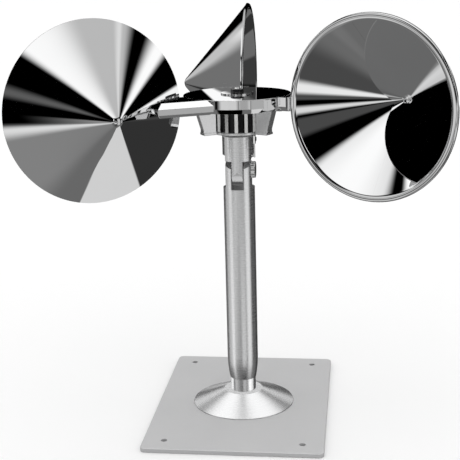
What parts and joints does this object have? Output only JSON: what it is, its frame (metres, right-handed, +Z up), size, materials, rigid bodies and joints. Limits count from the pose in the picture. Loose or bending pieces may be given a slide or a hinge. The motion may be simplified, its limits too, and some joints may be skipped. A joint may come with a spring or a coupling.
{
  "type": "cup anemometer",
  "caption": "Conical-cup anemometer rotor on a tilting head, on a short mast with a square-cornered base plate.",
  "frame": {"origin": "on the mast axis at the underside of the base plate", "axes": "+Z up along the mast; X across the narrow side of the plate and along the tilt hinge; Y along the plate's length"},
  "size_m": [0.2984, 0.2745, 0.2997],
  "materials": {
    "plate_grey": "matte light grey paint",
    "satin_aluminium": "turned, satin anodised",
    "mirror_chrome": "mirror polish",
    "dark_steel": "blackened",
    "bright_steel": "ground",
    "fibre": "plain"
  },
  "bodies": {
    "stand": {"base_plate": "plate_grey", "base_boss": "satin_aluminium", "foot_bolt": "dark_steel", "foot_spigot": "bright_steel", "mast_tube": "satin_aluminium", "mast_grub_screw": "dark_steel", "clamp_screw": "bright_steel", "friction_washers": "fibre"},
    "head": {"head_tube": "satin_aluminium", "detent_spring": "bright_steel", "detent_ball": "bright_steel", "spring_rivet": "dark_steel", "lower_bearing_outer": "bright_steel", "upper_bearing_outer": "bright_steel", "outer_spacer": "satin_aluminium", "bearing_retainer": "dark_steel"},
    "rotor": {"arm_gusset_1": "satin_aluminium", "arm_gusset_2": "satin_aluminium", "arm_gusset_3": "satin_aluminium", "arm_screws": "dark_steel", "cup_1": "mirror_chrome", "cup_2": "mirror_chrome", "cup_3": "mirror_chrome", "cup_arm_1": "mirror_chrome", "cup_arm_2": "mirror_chrome", "cup_arm_3": "mirror_chrome", "gusset_screws": "dark_steel", "hub_bush": "satin_aluminium", "hub_plate": "mirror_chrome", "inner_spacer": "satin_aluminium", "lower_bearing_balls": "bright_steel", "lower_bearing_inner": "bright_steel", "pulse_ring": "bright_steel", "ring_flange": "satin_aluminium", "ring_screws": "dark_steel", "spindle": "bright_steel", "spindle_circlip": "dark_steel", "spindle_nut": "dark_steel", "top_washer": "mirror_chrome", "upper_bearing_balls": "bright_steel", "upper_bearing_inner": "bright_steel"}
  },
  "joints": [
    {"name": "head_tilt", "type": "hinge", "parent": "stand", "child": "head", "pos_m": [0, 0, 0.1852], "axis": [1, 0, 0], "range_deg": [-30, 30]},
    {"name": "rotor_spin", "type": "hinge", "parent": "head", "child": "rotor", "pos_m": [0, 0, 0.205], "axis": [0, 0, 1], "continuous": true}
  ]
}
